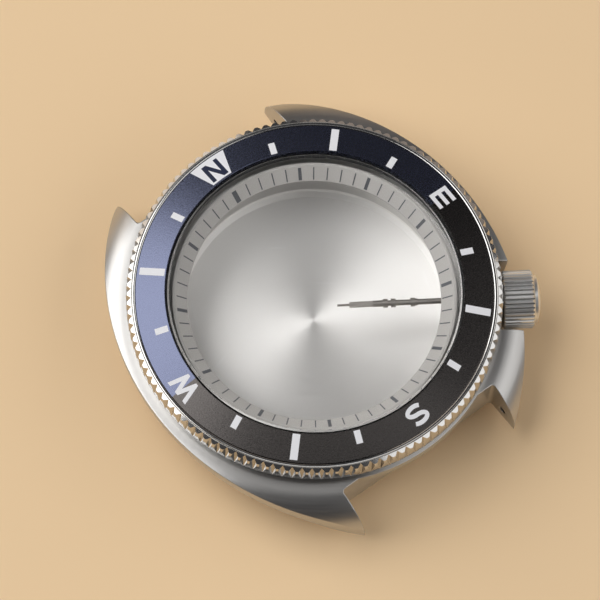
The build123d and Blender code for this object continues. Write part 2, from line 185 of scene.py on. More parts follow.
@dataclass(frozen=True)
class Steel(Finish):
    """Stainless steel, turned, brushed or polished.

    The grain is fine grooves that stretch each highlight across them, so a turned face shows
    bright and dark fans. Grooves are drawn as coarse as the render can show. hairline_mm is the
    width and length of stray scratches, and hairline_cut the heights of the noise where they start
    and are full. painted_valley_shade_mm holds the crown's radii over which painted shade, darkest deep in
    the knurl, fades out to the plain colour on the ridges, and edge_mm is how far broken edges catch the
    light.
    """

    colour: str
    roughness: float
    grain: Grain = Grain.NONE
    groove_mm: float = 0.12
    groove_length_mm: float = 9.0
    groove_height_mm: float = 0.0006
    rough_spread: float = 0.12
    stretch: float = 0.0
    mottle: float = 0.04
    scratch: float = 0.0
    hairline_turns_deg: tuple[int, ...] = (17, 71, 128)
    hairline_mm: tuple[float, float] = (0.45, 7.0)
    hairline_cut: tuple[float, float] = (0.715, 0.76)
    # Painted shade in the crown's knurl: the radii over which it fades out, and the colour it darkens to.
    painted_valley_shade_mm: tuple[float, float] | None = None
    painted_valley_shade_colour: str = "#6A6662"
    edge_mm: float = 0.0

    def painted_shade_mask(self, tree: bpy.types.NodeTree) -> Socket:
        """Mask the painted shade in the knurl: darkest deep between the ridges, fading out up to them.

        Args:
            tree: The material's node tree.

        Returns:
            0 in a valley, 1 on a ridge and on the crown's smooth end.
        """
        place = add_node(tree, "ShaderNodeTexCoord").outputs["Object"]
        turned = add_node(tree, "ShaderNodeVectorRotate", {
            "rotation_type": "Z_AXIS", "Angle": -radians(CROWN_ANGLE)}, {"Vector": place}).outputs[0]
        x, y, z = add_node(tree, "ShaderNodeSeparateXYZ", links={0: turned}).outputs
        across = add_node(tree, "ShaderNodeCombineXYZ", links={
            0: y, 1: math_node(tree, "SUBTRACT", z, CROWN_HEIGHT * MM)}).outputs[0]
        reach = add_node(tree, "ShaderNodeVectorMath", {"operation": "LENGTH"}, {0: across})
        low, high = self.painted_valley_shade_mm
        ridge = add_node(tree, "ShaderNodeMapRange", {"From Min": low * MM, "From Max": high * MM},
                         {"Value": reach.outputs["Value"]})
        on_end = math_node(tree, "GREATER_THAN", x, KNURL_END * MM)
        return math_node(tree, "MAXIMUM", ridge.outputs[0], on_end)

    def hairlines(self, tree: bpy.types.NodeTree) -> Socket:
        """Draw fine stray scratches in a few directions.

        Args:
            tree: The material's node tree.

        Returns:
            0 on clean metal, 1 in a scratch.
        """
        width, length = self.hairline_mm
        low, high = self.hairline_cut
        place = add_node(tree, "ShaderNodeTexCoord").outputs["Object"]
        found: Socket | float = 0.0
        for turn_deg in self.hairline_turns_deg:
            turned = add_node(tree, "ShaderNodeVectorRotate", {
                "rotation_type": "Z_AXIS", "Angle": radians(turn_deg)}, {"Vector": place}).outputs[0]
            x, y, _ = add_node(tree, "ShaderNodeSeparateXYZ", links={0: turned}).outputs
            spread = add_node(tree, "ShaderNodeCombineXYZ", {2: float(turn_deg)}, {
                0: math_node(tree, "MULTIPLY", x, 1 / (width * MM)),
                1: math_node(tree, "MULTIPLY", y, 1 / (length * MM))}).outputs[0]
            noise = add_node(tree, "ShaderNodeTexNoise", {"Scale": 1.0, "Detail": 1.0, "Distortion": 0.7},
                             {"Vector": spread}).outputs["Fac"]
            line = add_node(tree, "ShaderNodeMapRange", {"From Min": low, "From Max": high},
                            {"Value": noise})
            found = math_node(tree, "MAXIMUM", line.outputs[0], found)
        return found

    def grooves(self, tree: bpy.types.NodeTree) -> Socket:
        """Draw the grooves as noise that is pulled out along the grain.

        Args:
            tree: The material's node tree.

        Returns:
            Their height, from 0 to 1.
        """
        place = add_node(tree, "ShaderNodeTexCoord").outputs["Object"]
        if self.grain is Grain.ALONG_CROWN:
            place = add_node(tree, "ShaderNodeVectorRotate", {
                "rotation_type": "Z_AXIS", "Angle": -radians(CROWN_ANGLE)}, {"Vector": place}).outputs[0]
        x, y, z = add_node(tree, "ShaderNodeSeparateXYZ", links={0: place}).outputs
        if self.grain is Grain.CIRCULAR:
            flat = add_node(tree, "ShaderNodeCombineXYZ", links={0: x, 1: y}).outputs[0]
            reach = add_node(tree, "ShaderNodeVectorMath", {"operation": "LENGTH"},
                             {0: flat}).outputs["Value"]
            around = GROOVE_REACH_MM / self.groove_length_mm
            across = math_node(tree, "ADD", reach, z)
            fed = {
                0: math_node(tree, "MULTIPLY", across, 1 / (self.groove_mm * MM)),
                1: math_node(tree, "MULTIPLY", math_node(tree, "DIVIDE", x, reach), around),
                2: math_node(tree, "MULTIPLY", math_node(tree, "DIVIDE", y, reach), around),
            }
        elif self.grain is Grain.ALONG_CROWN:
            fed = {
                0: math_node(tree, "MULTIPLY", x, 1 / (self.groove_length_mm * MM)),
                1: math_node(tree, "MULTIPLY", y, 1 / (self.groove_mm * MM)),
                2: math_node(tree, "MULTIPLY", z, 1 / (self.groove_mm * MM)),
            }
        else:
            fed = {i: math_node(tree, "MULTIPLY", s, 1 / (self.groove_mm * MM))
                   for i, s in enumerate((x, y, z))}
        vector = add_node(tree, "ShaderNodeCombineXYZ", links=fed).outputs[0]
        return add_node(tree, "ShaderNodeTexNoise", {"Scale": 1.0, "Detail": 3.0, "Roughness": 0.6},
                        {"Vector": vector}).outputs["Fac"]

    def material(self) -> bpy.types.Material:
        """Build the steel's material.

        Returns:
            The material.
        """
        made, tree, shader = self.start()
        shader.inputs["Metallic"].default_value = 1.0
        shader.inputs["Anisotropic"].default_value = self.stretch
        shader.inputs["Anisotropic Rotation"].default_value = QUARTER_TURN
        grooves = self.grooves(tree)
        shade = mottled(tree, self.colour, self.mottle, grooves)
        if self.scratch:
            share = math_node(tree, "MULTIPLY", self.hairlines(tree), self.scratch)
            shade = add_node(tree, "ShaderNodeMix", {"data_type": "RGBA", 7: WHITE},
                             {0: share, 6: shade}).outputs[2]
        # Painted shade: the knurl is darkened deep between its ridges, where shade falls.
        if self.painted_valley_shade_mm:
            shade = add_node(tree, "ShaderNodeMix", {"data_type": "RGBA", 6: linear(self.painted_valley_shade_colour)},
                             {0: self.painted_shade_mask(tree), 7: shade}).outputs[2]
        tree.links.new(shade, shader.inputs["Base Color"])
        rough = add_node(tree, "ShaderNodeMapRange", NOISE_SPAN | {
            "To Min": self.roughness * (1 - self.rough_spread),
            "To Max": self.roughness * (1 + self.rough_spread)}, {"Value": grooves})
        tree.links.new(rough.outputs[0], shader.inputs["Roughness"])
        if self.groove_height_mm:
            bump = add_node(tree, "ShaderNodeBump", {
                "Strength": 1.0, "Distance": self.groove_height_mm * MM}, {"Height": grooves})
            if self.edge_mm:
                broken = add_node(tree, "ShaderNodeBevel", {"samples": 8, "Radius": self.edge_mm * MM})
                tree.links.new(broken.outputs[0], bump.inputs["Normal"])
            tree.links.new(bump.outputs[0], shader.inputs["Normal"])
        if self.stretch:
            tangent = add_node(tree, "ShaderNodeTangent", {"direction_type": "RADIAL", "axis": "Z"})
            tree.links.new(tangent.outputs[0], shader.inputs["Tangent"])
        return made


@dataclass(frozen=True)
class AnodisedPrint(Finish):
    """Anodised aluminium in two colours, split across the ring: a dyed film over blasted metal.

    grit_mm is the spacing of the blasting grit, drawn as coarse as the render can show, and
    grit_shade is how much its pits darken the film.
    """

    north: str
    south: str
    turn_deg: float
    roughness: float
    rough_spread: float = 0.1
    grit_mm: float = 0.16
    grit_height_mm: float = 0.006
    grit_shade: float = 0.35

    def material(self) -> bpy.types.Material:
        """Build the insert's two-colour material.

        Returns:
            The material.
        """
        made, tree, shader = self.start()
        place = add_node(tree, "ShaderNodeTexCoord").outputs["Object"]
        x, y, _ = add_node(tree, "ShaderNodeSeparateXYZ", links={0: place}).outputs
        across = math_node(tree, "SUBTRACT",
                           math_node(tree, "MULTIPLY", y, cos(radians(self.turn_deg))),
                           math_node(tree, "MULTIPLY", x, sin(radians(self.turn_deg))))
        is_north = math_node(tree, "GREATER_THAN", across, 0.0)
        grain = add_node(tree, "ShaderNodeTexNoise", {"Scale": 1 / (self.grit_mm * MM), "Detail": 2.0},
                         {"Vector": place}).outputs["Fac"]
        film = add_node(tree, "ShaderNodeMix", {
            "data_type": "RGBA", 6: linear(self.south), 7: linear(self.north)}, {0: is_north}).outputs[2]
        worn = add_node(tree, "ShaderNodeMix", {
            "data_type": "RGBA", "blend_type": "MULTIPLY", 0: self.grit_shade},
            {6: film, 7: grain}).outputs[2]
        tree.links.new(worn, shader.inputs["Base Color"])
        shader.inputs["Metallic"].default_value = 1.0
        rough = add_node(tree, "ShaderNodeMapRange", NOISE_SPAN | {
            "To Min": self.roughness * (1 - self.rough_spread),
            "To Max": self.roughness * (1 + self.rough_spread)}, {"Value": grain})
        tree.links.new(rough.outputs[0], shader.inputs["Roughness"])
        bump = add_node(tree, "ShaderNodeBump", {
            "Strength": 1.0, "Distance": self.grit_height_mm * MM}, {"Height": grain})
        tree.links.new(bump.outputs[0], shader.inputs["Normal"])
        return made


@dataclass(frozen=True)
class Coat(Finish):
    """A sprayed or printed coat, or a moulded plastic or rubber: even colour with a fine tooth."""

    colour: str
    roughness: float
    tooth_mm: float = 0.15
    tooth_height_mm: float = 0.001
    mottle: float = 0.05

    def material(self) -> bpy.types.Material:
        """Build the coat's material.

        Returns:
            The material.
        """
        made, tree, shader = self.start()
        place = add_node(tree, "ShaderNodeTexCoord").outputs["Object"]
        tooth = add_node(tree, "ShaderNodeTexNoise", {"Scale": 1 / (self.tooth_mm * MM), "Detail": 3.0},
                         {"Vector": place}).outputs["Fac"]
        tree.links.new(mottled(tree, self.colour, self.mottle, tooth), shader.inputs["Base Color"])
        shader.inputs["Roughness"].default_value = self.roughness
        bump = add_node(tree, "ShaderNodeBump", {
            "Strength": 1.0, "Distance": self.tooth_height_mm * MM}, {"Height": tooth})
        tree.links.new(bump.outputs[0], shader.inputs["Normal"])
        return made


@dataclass(frozen=True)
class Glass(Finish):
    """Polished mineral glass. Lamps reach through it, as they do through the real crystal."""

    ior: float

    def material(self) -> bpy.types.Material:
        """Build the glass material.

        Returns:
            The material.
        """
        made, tree, shader = self.start()
        shader.inputs["Base Color"].default_value = WHITE
        shader.inputs["Roughness"].default_value = 0.0
        shader.inputs["IOR"].default_value = self.ior
        shader.inputs["Transmission Weight"].default_value = 1.0
        path = add_node(tree, "ShaderNodeLightPath")
        clear = add_node(tree, "ShaderNodeBsdfTransparent")
        mixed = add_node(tree, "ShaderNodeMixShader", links={
            0: path.outputs["Is Shadow Ray"], 1: shader.outputs[0], 2: clear.outputs[0]})
        tree.links.new(mixed.outputs[0], tree.nodes["Material Output"].inputs["Surface"])
        return made


# Satin that runs round the dial: a soft white sheen that fades along the flank, not a mirror edge.
CASE_BRUSHED = Steel("steel_case_brushed", "#C6C4C1", 0.32, Grain.CIRCULAR, stretch=0.65,
                     groove_height_mm=0.0012, edge_mm=0.16)
# Mirror polish: each land and notch flank shows a lamp, the dark or the floor, so the edge sparkles.
BEZEL_POLISHED = Steel("steel_bezel_polished", "#CDCBC8", 0.12, groove_mm=1.2, groove_height_mm=0.0002)
# Face turning: bright and dark fans from the centre, with a few stray hairlines.
BACK_TURNED = Steel("steel_back_turned", "#EAE8E5", 0.54, Grain.CIRCULAR, stretch=0.84,
                    groove_height_mm=0.0008, scratch=0.14)
# Satin along the crown: bright ridges, with painted shade darkening the knurl deep between them.
CROWN_SATIN = Steel("steel_crown_satin", "#FBFAF8", 0.34, Grain.ALONG_CROWN, groove_height_mm=0.0006,
                    painted_valley_shade_mm=(2.86, 3.06))
# Hardened and left dull: a darker rod against the bright back.
STEM_HARDENED = Steel("steel_stem_hardened", "#A39E98", 0.4, Grain.ALONG_CROWN)
# Lathe-turned bore parts: a plain, fairly bright sheen.
TUBE_TURNED = Steel("steel_tube_turned", "#BDBAB6", 0.25, Grain.ALONG_CROWN)
# Drawn wire: smooth, with a long highlight on each coil.
SPRING_WIRE = Steel("steel_spring_wire", "#B5B2AE", 0.22)
# Ground and lapped: a small mirror ball.
BALL_GROUND = Steel("steel_ball_ground", "#D2D0CE", 0.06, groove_height_mm=0.0)
# Dyed film over blasted aluminium: deep away from the lamps, milky blue towards them, with fine grit.
INSERT_ANODISED = AnodisedPrint("aluminium_insert_anodised", "#6E738A", "#5E5A58", 1.75, 0.27)
# Matt white screen print: the same white all round the ring.
PRINT_WHITE = Coat("ink_insert_white", "#F8F8FB", 0.5, mottle=0.03)
# Matt navy print: the N, darker than the film beside its panel.
PRINT_NAVY = Coat("ink_insert_navy", "#0E1A3C", 0.45)
# Sprayed lacquer: an even warm grey with a fine tooth.
CHAPTER_SPRAYED = Coat("lacquer_chapter_sprayed", "#A5A29E", 0.5, tooth_mm=0.09, tooth_height_mm=0.0015)
# Pad print: thin dark grey marks without gloss.
PRINT_GREY = Coat("ink_chapter_grey", "#4A4C50", 0.5)
# Moulded rubber: near black and dull.
RUBBER_MOULDED = Coat("rubber_moulded", "#161616", 0.6)
# Moulded nylon: the black ring between crystal and bezel, a little glossier than rubber.
NYLON_MOULDED = Coat("nylon_gasket_moulded", "#1B1B1C", 0.45)
# Cured adhesive film: a cream layer, hidden under the insert.
ADHESIVE_FILM = Coat("adhesive_film", "#D8D2B8", 0.5)
# Polished mineral glass: clear, seen by its bevelled edge and a faint mirror image.
CRYSTAL_POLISHED = Glass("glass_crystal_polished", 1.52)


class Wardrobe:
    """Makes each finish once and hands out its material."""

    def __init__(self) -> None:
        """Start with no materials."""
        self.made: dict[str, bpy.types.Material] = {}

    def get(self, finish: Finish) -> bpy.types.Material:
        """Hand out a material, making it on first use.

        Args:
            finish: The finish that is asked for.

        Returns:
            Its material.
        """
        if finish.name not in self.made:
            self.made[finish.name] = finish.material()
        return self.made[finish.name]


WARDROBE = Wardrobe()


@dataclass
class Shape:
    """Points in millimetres and the faces on them."""

    points: np.ndarray
    faces: list[tuple[int, ...]]

    def __add__(self, other: "Shape") -> "Shape":
        """Both shapes as one."""
        shift = len(self.points)
        return Shape(np.vstack([self.points, other.points]),
                     self.faces + [tuple(i + shift for i in f) for f in other.faces])

    def moved(self, matrix: Matrix) -> "Shape":
        """The shape after a 4x4 transform whose lengths are millimetres."""
        turn = np.array(matrix.to_3x3())
        return Shape(self.points @ turn.T + np.array(matrix.translation), self.faces)


def eased(profile: list[Point], radius: float, steps: int = 3) -> list[Point]:
    """Round every corner of a closed profile.

    Args:
        profile: Corners as (radius, height), in millimetres.
        radius: How far along each edge the rounding starts, at most a third of the edge.
        steps: Points that replace one corner.

    Returns:
        The profile with its corners rounded.
    """
    out: list[Point] = []
    count = len(profile)
    for i, corner in enumerate(profile):
        here = np.array(corner)
        before, after = np.array(profile[i - 1]), np.array(profile[(i + 1) % count])
        if corner[0] == 0:
            out.append(corner)
            continue
        start = here + (before - here) * min(radius / np.linalg.norm(before - here), 1 / 3)
        end = here + (after - here) * min(radius / np.linalg.norm(after - here), 1 / 3)
        for k in range(steps + 1):
            t = k / steps
            out.append(tuple(start * (1 - t) ** 2 + here * 2 * t * (1 - t) + end * t**2))
    return out


def lathe(profile: list[Point], segments: int = 384) -> Shape:
    """Turn a closed profile about Z.

    Args:
        profile: Corners as (radius, height), anticlockwise, in millimetres.
        segments: Steps around the axis.

    Returns:
        A closed shape. Corners on the axis become one point each.
    """
    points: list[tuple[float, float, float]] = []
    rows: list[list[int]] = []
    turns = [(cos(2 * pi * k / segments), sin(2 * pi * k / segments)) for k in range(segments)]
    for r, z in profile:
        if r < ON_AXIS_MM:
            rows.append([len(points)] * segments)
            points.append((0.0, 0.0, z))
        else:
            rows.append(list(range(len(points), len(points) + segments)))
            points += [(r * c, r * s, z) for c, s in turns]
    faces = []
    for i, row in enumerate(rows):
        following = rows[(i + 1) % len(rows)]
        if row[0] == row[1] and following[0] == following[1]:
            continue
        for k in range(segments):
            j = (k + 1) % segments
            corner = dict.fromkeys((row[k], row[j], following[j], following[k]))
            faces.append(tuple(corner))
    return Shape(np.array(points), faces)


def plate(outline: list[Point], low: float, high: float) -> Shape:
    """Raise a flat plate from its outline.

    Args:
        outline: Its corners, anticlockwise.
        low: Height of its foot.
        high: Height of its top.

    Returns:
        The plate as one solid.
    """
    count = len(outline)
    points = [(x, y, low) for x, y in outline] + [(x, y, high) for x, y in outline]
    faces = [tuple(range(count))[::-1], tuple(range(count, 2 * count))]
    faces += [(i, (i + 1) % count, count + (i + 1) % count, count + i) for i in range(count)]
    return Shape(np.array(points), faces)


def coil(radius: float, wire_r: float, turns: int, low: float, high: float, turn_steps: int = 36,
         sides: int = 12) -> Shape:
    """Wind a coil of round wire about Z, with flat ends.

    Args:
        radius: From the axis to the middle of the wire.
        wire_r: The wire's radius.
        turns: Turns of wire.
        low: Height of its foot.
        high: Height of its head.
        turn_steps: Steps in one turn.
        sides: Points around the wire.

    Returns:
        The coil as one solid.
    """
    steps = turn_steps * turns
    climb = (high - low - 2 * wire_r) / steps
    points = []
    for i in range(steps + 1):
        angle = 2 * pi * turns * i / steps
        for k in range(sides):
            around = 2 * pi * k / sides
            reach = radius + wire_r * cos(around)
            height = low + wire_r + climb * i + wire_r * sin(around)
            points.append((reach * cos(angle), reach * sin(angle), height))
    faces = [tuple(range(sides)), tuple(range(steps * sides, (steps + 1) * sides))[::-1]]
    for i in range(steps):
        for k in range(sides):
            j = (k + 1) % sides
            faces.append((i * sides + k, i * sides + j, (i + 1) * sides + j, (i + 1) * sides + k))
    return Shape(np.array(points), faces)


def ribbon(left: list[Point], right: list[Point], thick: float) -> Shape:
    """A thin closed strip between two rails with as many points each.

    Args:
        left: One long side.
        right: The other long side.
        thick: Its height above zero.

    Returns:
        The strip as one solid.
    """
    n = len(left)
    points = [(x, y, z) for z in (0.0, thick) for x, y in right + left]
    faces = [(n, 0, 2 * n, 3 * n), (n - 1, 2 * n - 1, 4 * n - 1, 3 * n - 1)]
    for i in range(n - 1):
        faces += [(2 * n + i, 2 * n + i + 1, 3 * n + i + 1, 3 * n + i), (i, n + i, n + i + 1, i + 1),
                  (i, i + 1, 2 * n + i + 1, 2 * n + i), (n + i + 1, n + i, 3 * n + i, 3 * n + i + 1)]
    return Shape(np.array(points), faces)


def make_piece(name: str, shape: Shape, finish: Finish, body: str,
               replaces: tuple[str, ...] = (), sharp_deg: float = 30.0,
               rigid: bool = True) -> bpy.types.Object:
    """Turn a shape into a piece that rides on a body.

    Args:
        name: The piece's name.
        shape: Its points and faces, in millimetres.
        finish: The finish that it wears.
        body: The body that it rides on, or nothing, to leave it on no body.
        replaces: Nodes that it stands for.
        sharp_deg: Edges with a larger angle stay sharp.
        rigid: Whether it keeps its form, so that its flat faces can be held flat.

    Returns:
        The new object.
    """
    mesh = bpy.data.meshes.new(name)
    mesh.from_pydata((shape.points * MM).tolist(), [], shape.faces)
    mesh.validate()
    work = bmesh.new()
    work.from_mesh(mesh)
    bmesh.ops.remove_doubles(work, verts=work.verts, dist=WELD_MM * MM)
    bmesh.ops.recalc_face_normals(work, faces=work.faces)
    work.to_mesh(mesh)
    work.free()
    mesh.shade_smooth()
    mesh.set_sharp_from_angle(angle=radians(sharp_deg))
    mesh.materials.append(WARDROBE.get(finish))
    piece = bpy.data.objects.new(name, mesh)
    bpy.context.scene.collection.objects.link(piece)
    if rigid:
        flat = piece.modifiers.new("flat_faces_stay_flat", "WEIGHTED_NORMAL")
        flat.weight, flat.keep_sharp = 100, True
    if body:
        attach(piece, body)
    if replaces:
        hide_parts(*replaces)
    log.info("%s: %d faces, finish %s, rides on %s", name, len(mesh.polygons), finish.name,
             body or "two bodies")
    return piece


def dress_node(node: str, finish: Finish) -> None:
    """Give a node of the frame a finish, and leave its shape alone.

    Args:
        node: The node's name.
        finish: The finish that it wears.
    """
    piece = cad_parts[node]
    piece.data.materials.clear()
    piece.data.materials.append(WARDROBE.get(finish))
    log.info("%s: kept as it is, finish %s", node, finish.name)


@dataclass
class CaseMiddle:
    """The cushion-shaped steel case middle."""

    def build(self) -> None:
        """Dress the case middle."""
        dress_node("mid_case", CASE_BRUSHED)


@dataclass
class BezelInsert:
    """The compass insert: a two-colour anodised cone that falls outwards, with bars and letters.

    A bar has its inner and outer radius and its width. n_slant is how far the slant of the N runs
    on past its posts, aside and along. w_foot is where the feet of the W stand, as a share of its
    half width, and w_dip how far its middle stays below the top, as a share of half a stroke.
    """

    outer_r: float = 19.06
    inner_r: float = 15.88
    bore_r: float = 17.05
    bore_top: float = 12.03
    slope: float = 0.62 / 3.18
    thick: float = 0.8
    edge: float = 0.09
    print_thick: float = 0.012
    turn_deg: float = 1.75
    headings: int = 16
    long_bar: tuple[float, float, float] = (16.05, 18.75, 0.82)
    short_bar: tuple[float, float, float] = (16.1, 17.5, 0.7)
    letter_low: float = 16.25
    letter_high: float = 18.5
    stroke: float = 0.46
    n_half: float = 0.78
    n_slant: Point = (0.1, 0.3)
    e_half: float = 0.98
    w_half: float = 1.42
    w_foot: float = 0.47
    w_dip: float = 0.2
    s_half: float = 1.14
    s_start_deg: float = 35
    s_sweep_deg: float = 235
    s_steps: int = 18
    panel_low: float = 16.06
    panel_high: float = 18.96
    panel_low_half: float = 1.2
    panel_high_half: float = 2.2
    panel_steps: int = 6

    def height(self, radius: float) -> float:
        """Height of the insert's face at a radius."""
        return self.bore_top - self.slope * (radius - self.bore_r)

    def printed(self, shape: Shape, compass_deg: float, lift: float = 0.0) -> Shape:
        """Turn a flat print to its heading and lay it on the cone.

        Args:
            shape: The print, standing at twelve o'clock with its foot at height zero.
            compass_deg: The heading that it goes to.
            lift: How far it lies above the bare face.

        Returns:
            The print in place.
        """
        turn = Matrix.Rotation(radians(self.turn_deg - compass_deg), 4, "Z")
        laid = shape.moved(turn)
        for point in laid.points:
            point[2] += self.height(hypot(point[0], point[1])) + lift
        return laid

    def bar(self, sizes: tuple[float, float, float]) -> Shape:
        """Make one printed bar.

        Args:
            sizes: Its inner and outer radius and its width.

        Returns:
            The bar, standing at twelve o'clock.
        """
        low, high, width = sizes
        side = width / 2
        return plate([(-side, low), (side, low), (side, high), (-side, high)], 0.0, self.print_thick)

    def strokes(self, path: list[Point]) -> Shape:
        """Draw a stroke of even width along a path.

        Args:
            path: The stroke's middle line, in local millimetres.

        Returns:
            The stroke as a thin plate.
        """
        left: list[Point] = []
        right: list[Point] = []
        for i, here in enumerate(path):
            ahead = np.array(path[min(i + 1, len(path) - 1)]) - np.array(here)
            behind = np.array(here) - np.array(path[max(i - 1, 0)])
            first = ahead if i == 0 else behind
            second = behind if i == len(path) - 1 else ahead
            a = np.array([-first[1], first[0]]) / np.linalg.norm(first)
            b = np.array([-second[1], second[0]]) / np.linalg.norm(second)
            middle = (a + b) / (1 + a @ b)
            left.append(tuple(np.array(here) + middle * self.stroke / 2))
            right.append(tuple(np.array(here) - middle * self.stroke / 2))
        return ribbon(left, right, self.print_thick)

    def trimmed(self, shape: Shape) -> Shape:
        """Cut a letter off square at its top and foot.

        Args:
            shape: The letter, standing at twelve o'clock.

        Returns:
            What is left between foot and top, closed again.
        """
        work = bmesh.new()
        corners = [work.verts.new(p) for p in shape.points]
        for face in shape.faces:
            work.faces.new([corners[i] for i in face])
        for height, up in ((self.letter_low, -1.0), (self.letter_high, 1.0)):
            everything = work.verts[:] + work.edges[:] + work.faces[:]
            cut = bmesh.ops.bisect_plane(work, geom=everything, plane_co=(0, height, 0),
                                         plane_no=(0, up, 0), clear_outer=True)
            edges = [g for g in cut["geom_cut"] if isinstance(g, bmesh.types.BMEdge)]
            bmesh.ops.holes_fill(work, edges=edges)
        work.verts.index_update()
        points = np.array([v.co[:] for v in work.verts])
        faces = [tuple(v.index for v in f.verts) for f in work.faces]
        work.free()
        return Shape(points, faces)

    def s_path(self) -> list[Point]:
        """Trace the middle line of the S: an upper bowl, then a lower one that turns the other way.

        Returns:
            Its points, from the upper end to the lower one.
        """
        wide = self.s_half - self.stroke / 2
        tall = (self.letter_high - self.letter_low - self.stroke) / 4
        upper = self.letter_high - self.stroke / 2 - tall
        lower = self.letter_low + self.stroke / 2 + tall
        step = self.s_sweep_deg / self.s_steps
        path = []
        for k in range(self.s_steps + 1):
            t = radians(self.s_start_deg + k * step)
            path.append((wide * cos(t), upper + tall * sin(t)))
        for k in range(1, self.s_steps + 1):
            t = radians(90 - k * step)
            path.append((wide * cos(t), lower + tall * sin(t)))
        return path

    def letter(self, name: str) -> Shape:
        """Draw one letter of the compass.

        Args:
            name: N, E, S or W.

        Returns:
            The letter, standing at twelve o'clock.
        """
        low, high = self.letter_low, self.letter_high
        half = self.stroke / 2
        if name == "N":
            wide = self.n_half
            aside, along = self.n_slant
            posts = [self.strokes([(x, low), (x, high)]) for x in (-wide, wide)]
            slant = self.strokes([(-wide - aside, high + along), (wide + aside, low - along)])
            return self.trimmed(posts[0] + posts[1] + slant)
        if name == "E":
            wide = self.e_half
            spine = self.strokes([(-wide + half, low), (-wide + half, high)])
            arms = [self.strokes([(-wide + self.stroke, level), (wide, level)])
                    for level in (low + half, (low + high) / 2, high - half)]
            return reduce(add, arms, spine)
        if name == "W":
            wide, over = self.w_half, high + self.stroke
            foot = wide * self.w_foot
            return self.trimmed(self.strokes([
                (-wide, over), (-foot, low + half), (0, high - half * self.w_dip), (foot, low + half),
                (wide, over)]))
        return self.strokes(self.s_path())

    def panel(self) -> Shape:
        """Make the white panel behind the N, wider outside.

        Returns:
            The panel, standing at twelve o'clock.
        """
        inside: list[Point] = []
        outside: list[Point] = []
        for k in range(-self.panel_steps, self.panel_steps + 1):
            x = self.panel_low_half * k / self.panel_steps
            inside.append((x, sqrt(self.panel_low**2 - x**2)))
            x = self.panel_high_half * k / self.panel_steps
            outside.append((x, sqrt(self.panel_high**2 - x**2)))
        return ribbon(inside, outside, self.print_thick)

    def build(self) -> None:
        """Make the insert and its print: letters at the quarters, long bars midway, short ones between."""
        inner, outer = self.height(self.inner_r), self.height(self.outer_r)
        profile = [(self.inner_r, inner - self.thick), (self.outer_r, outer - self.thick),
                   (self.outer_r, outer), (self.inner_r, inner)]
        make_piece("bezel_insert_ring", lathe(eased(profile, self.edge)), INSERT_ANODISED, "bezel",
                   ("bezel_insert",))
        bars = [self.printed(self.bar(self.long_bar if k % 4 == 2 else self.short_bar),
                             360 / self.headings * k)
                for k in range(self.headings) if k % 4]
        make_piece("insert_bars", reduce(add, bars), PRINT_WHITE, "bezel")
        make_piece("insert_north_panel", self.printed(self.panel(), 0), PRINT_WHITE, "bezel")
        for name, heading in (("E", 90), ("S", 180), ("W", 270)):
            make_piece(f"insert_letter_{name}", self.printed(self.letter(name), heading), PRINT_WHITE,
                       "bezel")
        make_piece("insert_letter_N", self.printed(self.letter("N"), 0, self.print_thick), PRINT_NAVY,
                   "bezel")


@dataclass
class ChapterRing:
    """The sloping minute ring under the crystal."""

    inner_r: float = 13.52
    inner_z: float = 8.75
    slope_r: float = 14.85
    slope_z: float = 9.95
    outer_r: float = 15.15
    seat_z: float = 8.45
    foot: float = 0.1
    edge: float = 0.04
    mark_low: float = 13.62
    mark_high: float = 14.68
    thin: float = 0.13
    thick: float = 0.36
    twelve: float = 0.55
    print_thick: float = 0.012

    def mark(self, minute: int) -> Shape:
        """Print one minute mark on the slope.

        Args:
            minute: Its minute, from 0 at twelve o'clock to 59.

        Returns:
            The mark in place.
        """
        width = self.thin
        if minute % 5 == 0:
            width = self.twelve if minute == 0 else self.thick
        low, high, side = self.mark_low, self.mark_high, width / 2
        rise = (self.slope_z - self.inner_z) / (self.slope_r - self.inner_r)
        angle = radians(90 - 6 * minute)
        points = []
        for lift in (0.0, self.print_thick):
            for reach, aside in ((low, -side), (high, -side), (high, side), (low, side)):
                height = self.inner_z + rise * (hypot(reach, aside) - self.inner_r) + lift
                points.append((reach * cos(angle) - aside * sin(angle),
                               reach * sin(angle) + aside * cos(angle), height))
        faces = [(3, 2, 1, 0), (4, 5, 6, 7), (0, 1, 5, 4), (1, 2, 6, 5), (2, 3, 7, 6), (3, 0, 4, 7)]
        return Shape(np.array(points), faces)

    def build(self) -> None:
        """Make the ring and its sixty marks."""
        profile = [
            (self.inner_r + self.foot, self.seat_z), (self.outer_r, self.seat_z),
            (self.outer_r, self.slope_z), (self.slope_r, self.slope_z), (self.inner_r, self.inner_z),
            (self.inner_r, self.seat_z + self.foot)]
        make_piece("chapter_ring_body", lathe(eased(profile, self.edge)), CHAPTER_SPRAYED, "case",
                   ("chapter_ring",))
        marks = reduce(add, [self.mark(minute) for minute in range(60)])
        make_piece("chapter_marks", marks, PRINT_GREY, "case")


@dataclass
class Crystal:
    """The flat crystal with its bevelled edge, and its gasket."""

    outer_r: float = 15.65
    seat_z: float = 10.05
    thick: float = 2.0
    bevel: float = 0.18
    edge: float = 0.05

    def build(self) -> None:
        """Make the crystal and dress its gasket."""
        top = self.seat_z + self.thick
        profile = [(0, self.seat_z), (self.outer_r, self.seat_z), (self.outer_r, top - self.bevel),
                   (self.outer_r - self.bevel, top), (0, top)]
        make_piece("crystal_glass", lathe(eased(profile, self.edge)), CRYSTAL_POLISHED, "case",
                   ("crystal",))
        dress_node("crystal_gasket", NYLON_MOULDED)


@dataclass
class ScrewBack:
    """The screw back with its turned inner floor and six key slots."""

    def build(self) -> None:
        """Dress the back and its gasket."""
        dress_node("case_back", BACK_TURNED)
        dress_node("back_gasket", RUBBER_MOULDED)


